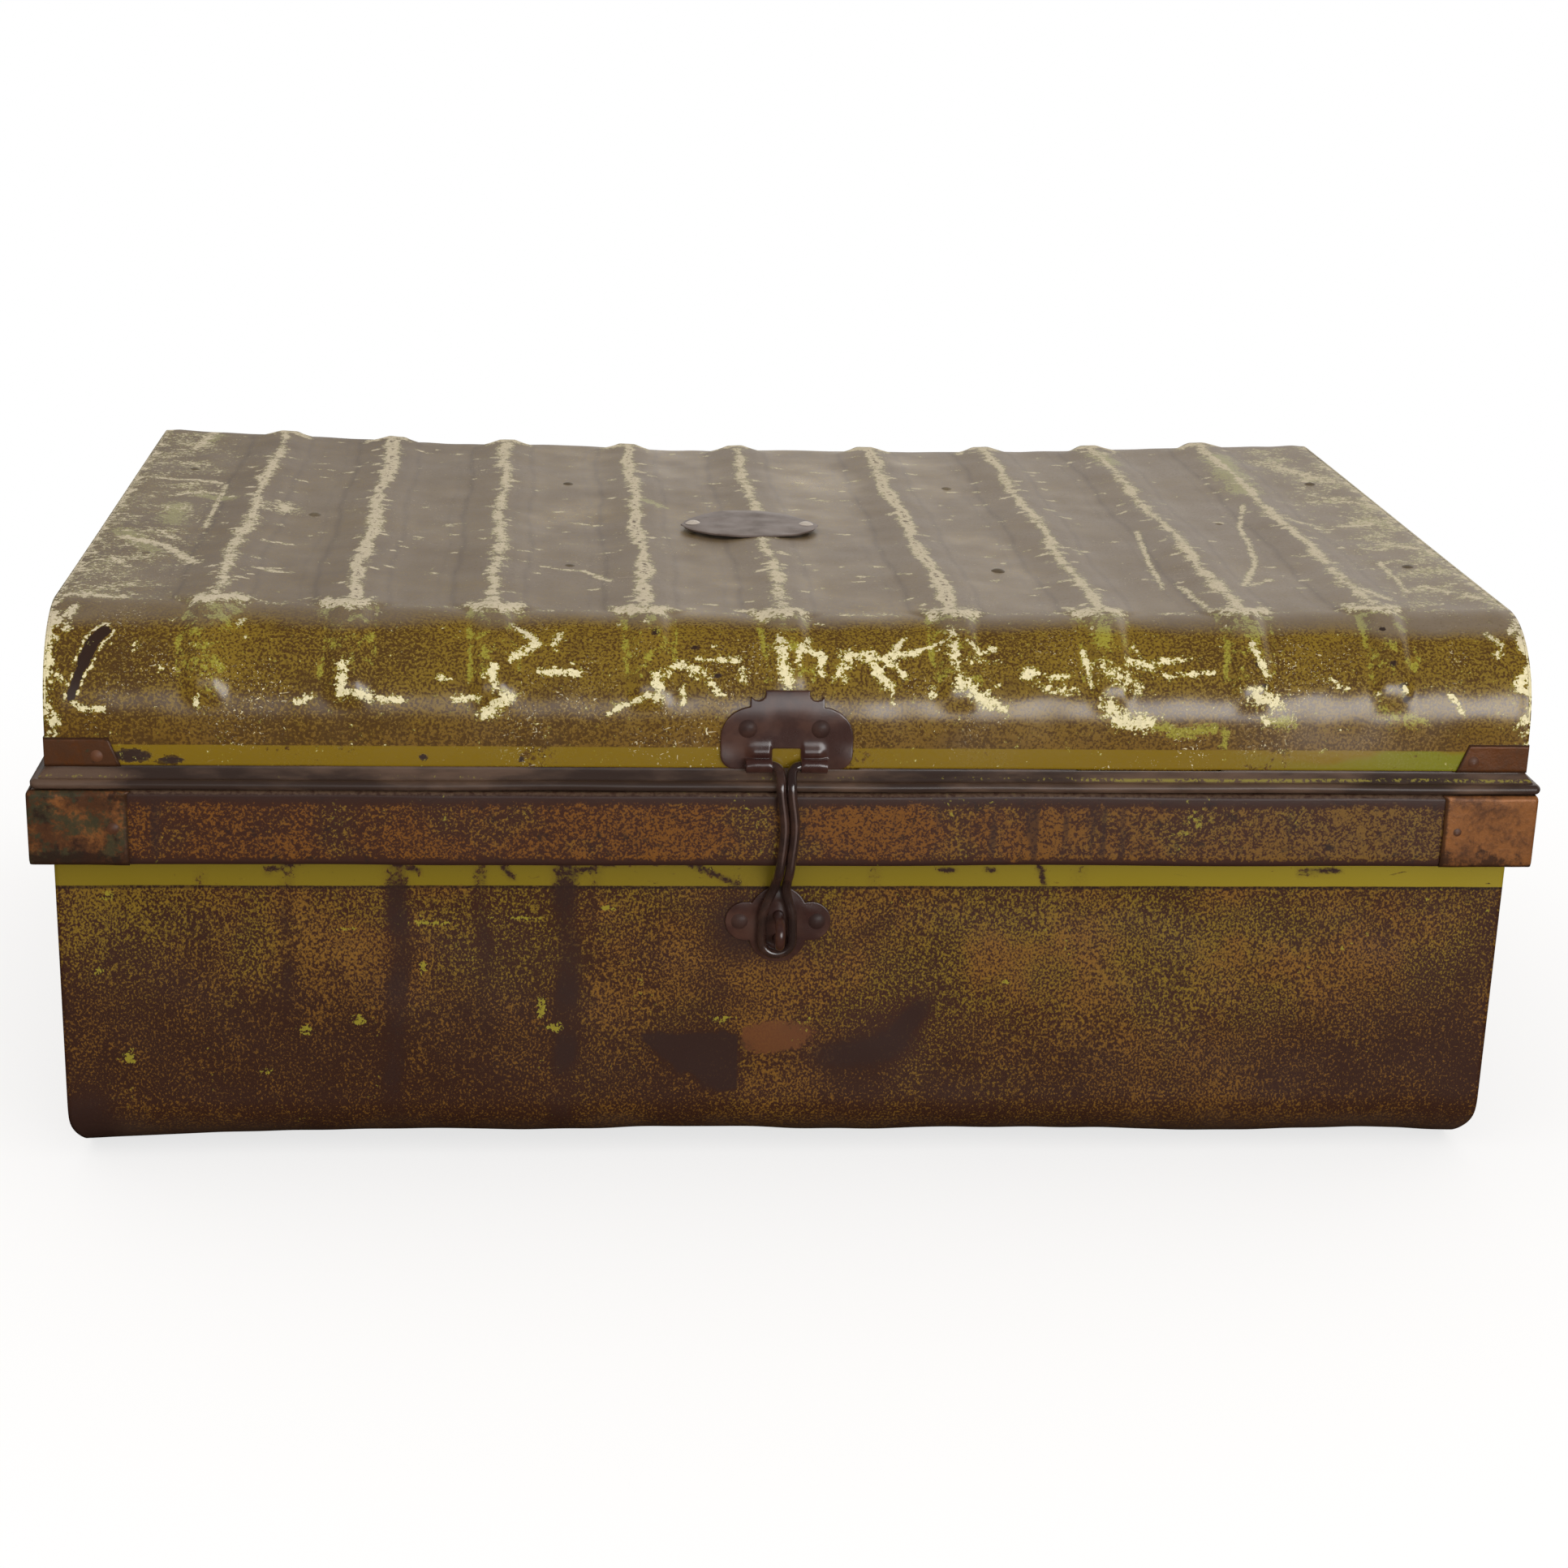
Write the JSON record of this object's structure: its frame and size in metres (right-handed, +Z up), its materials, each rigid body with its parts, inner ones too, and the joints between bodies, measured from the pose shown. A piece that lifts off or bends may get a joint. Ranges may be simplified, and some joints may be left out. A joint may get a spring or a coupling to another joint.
{
  "type": "tin trunk",
  "caption": "Ribbed sheet-metal trunk with a hinged lid, hollow collar, wire hasp over a staple and a drop handle at each end.",
  "frame": {"origin": "centre of the flat bottom that the trunk stands on", "axes": "+X along the trunk's length, -Y out of the front with the hasp, +Z up"},
  "size_m": [0.6764, 0.4854, 0.2592],
  "materials": {
    "tub_paint": "rust brown stippled over olive yellow, worn satin enamel",
    "lid_paint": "olive yellow enamel with fine brown stipple, scratched to pale primer",
    "collar_paint": "brown stippled enamel with an olive stripe below",
    "collar_copper": "worn copper wash with verdigris",
    "lid_copper": "worn copper wash, darkened",
    "bare_plate": "dark brown japanned plate, bare",
    "bright_rivet": "rubbed bright steel",
    "roof_rivet": "painted rivet head, rubbed dark",
    "inner_iron": "dull tinned iron",
    "handle_iron": "worn black-brown japan",
    "lock_japan": "glossy dark brown japan"
  },
  "bodies": {
    "tub": {"tub_wrap": "tub_paint", "tub_end_left": "tub_paint", "tub_end_right": "tub_paint", "mouth_wire": "tub_paint", "collar_front": "collar_paint", "collar_back": "collar_paint", "collar_left": "collar_paint", "collar_right": "collar_paint", "collar_corner_front_left": "collar_copper", "collar_corner_front_right": "collar_copper", "collar_corner_back_left": "collar_copper", "collar_corner_back_right": "collar_copper", "collar_rivets": "collar_copper", "staple_plate": "lock_japan", "staple": "lock_japan", "staple_rivets": "lock_japan", "tub_leaf_left": "lock_japan", "tub_leaf_right": "lock_japan", "hinge_pin_left": "inner_iron", "hinge_pin_right": "inner_iron", "tub_leaf_rivets": "lock_japan", "handle_plate_left": "handle_iron", "handle_plate_right": "handle_iron", "handle_clips_left": "handle_iron", "handle_clips_right": "handle_iron", "handle_rivets_left": "handle_iron", "handle_rivets_right": "handle_iron"},
    "lid": {"lid_wrap": "lid_paint", "lid_end_left": "lid_paint", "lid_end_right": "lid_paint", "rim_wire": "inner_iron", "lid_corner_front_left": "lid_copper", "lid_corner_front_right": "lid_copper", "lid_corner_back_left": "lid_copper", "lid_corner_back_right": "lid_copper", "lid_corner_rivets": "lid_copper", "name_plate": "bare_plate", "name_plate_rivets": "bright_rivet", "hasp_plate": "lock_japan", "hasp_plate_rivets": "lock_japan", "lid_leaf_left": "lock_japan", "lid_leaf_right": "lock_japan", "lid_leaf_rivets": "lock_japan", "roof_strap_front": "inner_iron", "roof_strap_middle": "inner_iron", "roof_strap_back": "inner_iron", "roof_rivets": "roof_rivet"},
    "hasp": {"hasp": "lock_japan"},
    "handle_left": {"bail_left": "handle_iron"},
    "handle_right": {"bail_right": "handle_iron"}
  },
  "joints": [
    {"name": "lid_hinge", "type": "hinge", "parent": "tub", "child": "lid", "pos_m": [0, 0.2383, 0.176], "axis": [-1, 0, 0], "range_deg": [0, 105]},
    {"name": "hasp_hinge", "type": "hinge", "parent": "lid", "child": "hasp", "pos_m": [-0.007, -0.23173, 0.19185], "axis": [-1, 0, 0], "range_deg": [0, 125]},
    {"name": "handle_left_hinge", "type": "hinge", "parent": "tub", "child": "handle_left", "pos_m": [-0.33328, 0, 0.118], "axis": [0, 1, 0], "range_deg": [0, 110]},
    {"name": "handle_right_hinge", "type": "hinge", "parent": "tub", "child": "handle_right", "pos_m": [0.33328, 0, 0.118], "axis": [0, -1, 0], "range_deg": [0, 110]}
  ]
}
